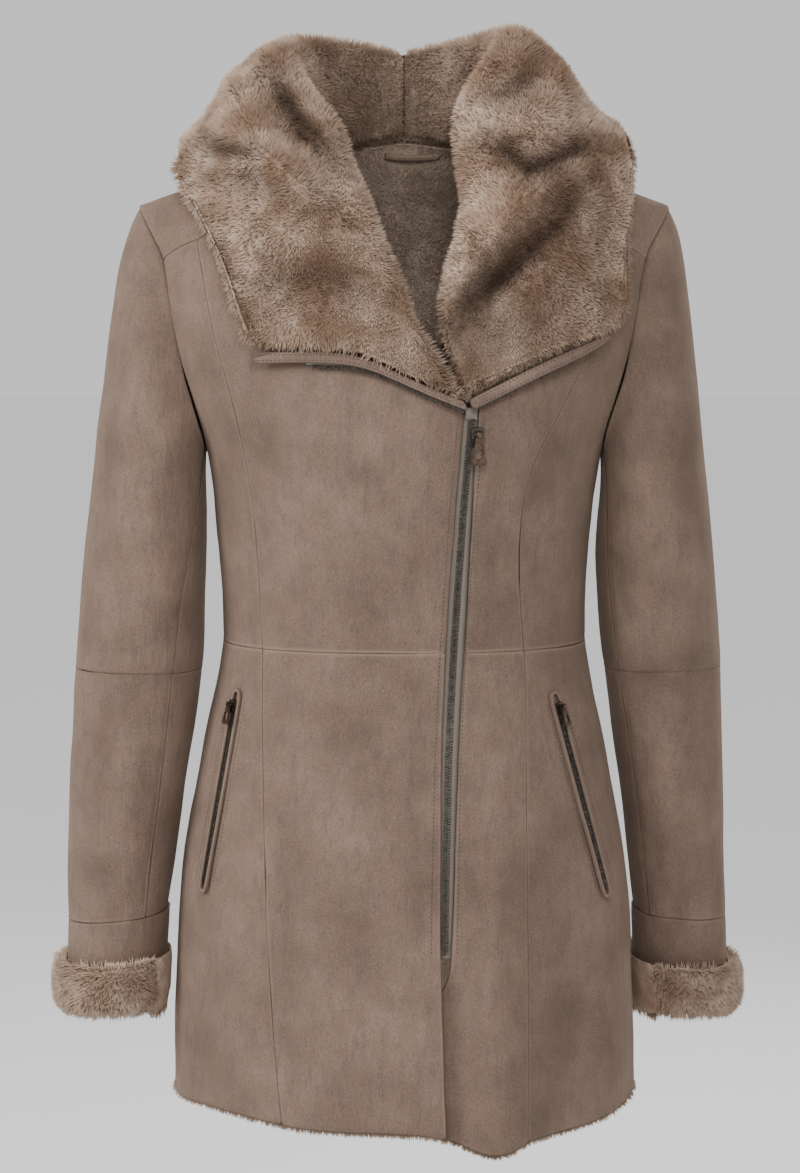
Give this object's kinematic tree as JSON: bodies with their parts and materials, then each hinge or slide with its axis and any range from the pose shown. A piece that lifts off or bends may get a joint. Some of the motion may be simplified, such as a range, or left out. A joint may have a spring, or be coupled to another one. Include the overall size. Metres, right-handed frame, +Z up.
{
  "type": "shearling coat",
  "caption": "Fitted hip-length coat of suede with the fleece inside, a wide turned-back fleece collar, off-centre front zip, slanted zip pockets and turned-back fleece cuffs.",
  "frame": {"origin": "midway between the two side-neck points, where the wearer's shoulders hold the coat", "axes": "+X the wearer's left, -Y the front, +Z up"},
  "size_m": [0.5779, 0.2912, 0.8959],
  "materials": {
    "suede": "matt brushed suede",
    "fleece": "curled sheep's fleece",
    "tape": "woven zip tape",
    "metal": "dark gunmetal zip parts"
  },
  "bodies": {
    "coat": {"skirt_side_front_right": "suede", "skirt_front_right": "suede", "skirt_front_left": "suede", "skirt_side_front_left": "suede", "skirt_side_back_left": "suede", "skirt_back_left": "suede", "skirt_back_right": "suede", "skirt_side_back_right": "suede", "bodice_side_front_right": "suede", "bodice_front_right": "suede", "bodice_front_left": "suede", "bodice_side_front_left": "suede", "bodice_side_back_left": "suede", "bodice_back_left": "suede", "bodice_back_right": "suede", "bodice_side_back_right": "suede", "yoke_front_right": "suede", "yoke_front_left": "suede", "yoke_back": "suede", "sleeve_top_upper_right": "suede", "sleeve_under_upper_right": "suede", "sleeve_top_lower_right": "suede", "sleeve_under_lower_right": "suede", "sleeve_band_right": "suede", "cuff_right": "fleece", "sleeve_top_upper_left": "suede", "sleeve_under_upper_left": "suede", "sleeve_top_lower_left": "suede", "sleeve_under_lower_left": "suede", "sleeve_band_left": "suede", "cuff_left": "fleece", "collar_right": "fleece", "lapel_band_right": "suede", "zip_tape_open_right": "tape", "zip_chain_open_right": "metal", "collar_left": "fleece", "lapel_band_left": "suede", "zip_tape_open_left": "tape", "zip_chain_open_left": "metal", "zip_tape": "tape", "zip_chain": "metal", "neck_loop": "suede", "zip_slider": "metal", "pocket_zip_chain_right": "metal", "pocket_welt_right": "suede", "pocket_right_slider": "metal", "pocket_zip_chain_left": "metal", "pocket_welt_left": "suede", "pocket_left_slider": "metal"},
    "zip_pull": {"zip_pull": "metal"},
    "pocket_right_pull": {"pocket_right_pull": "metal"},
    "pocket_left_pull": {"pocket_left_pull": "metal"}
  },
  "joints": [
    {"name": "zip_pull_swing", "type": "hinge", "parent": "coat", "child": "zip_pull", "pos_m": [0.05804, -0.13059, -0.22689], "axis": [-0.9809, -0.1943, 0], "range_deg": [0, 150]},
    {"name": "pocket_right_pull_swing", "type": "hinge", "parent": "coat", "child": "pocket_right_pull", "pos_m": [-0.14085, -0.06564, -0.44619], "axis": [-0.6402, 0.7677, 0.0292], "range_deg": [0, 150]},
    {"name": "pocket_left_pull_swing", "type": "hinge", "parent": "coat", "child": "pocket_left_pull", "pos_m": [0.12684, -0.07969, -0.4461], "axis": [-0.6957, -0.6975, -0.1716], "range_deg": [0, 150]}
  ]
}
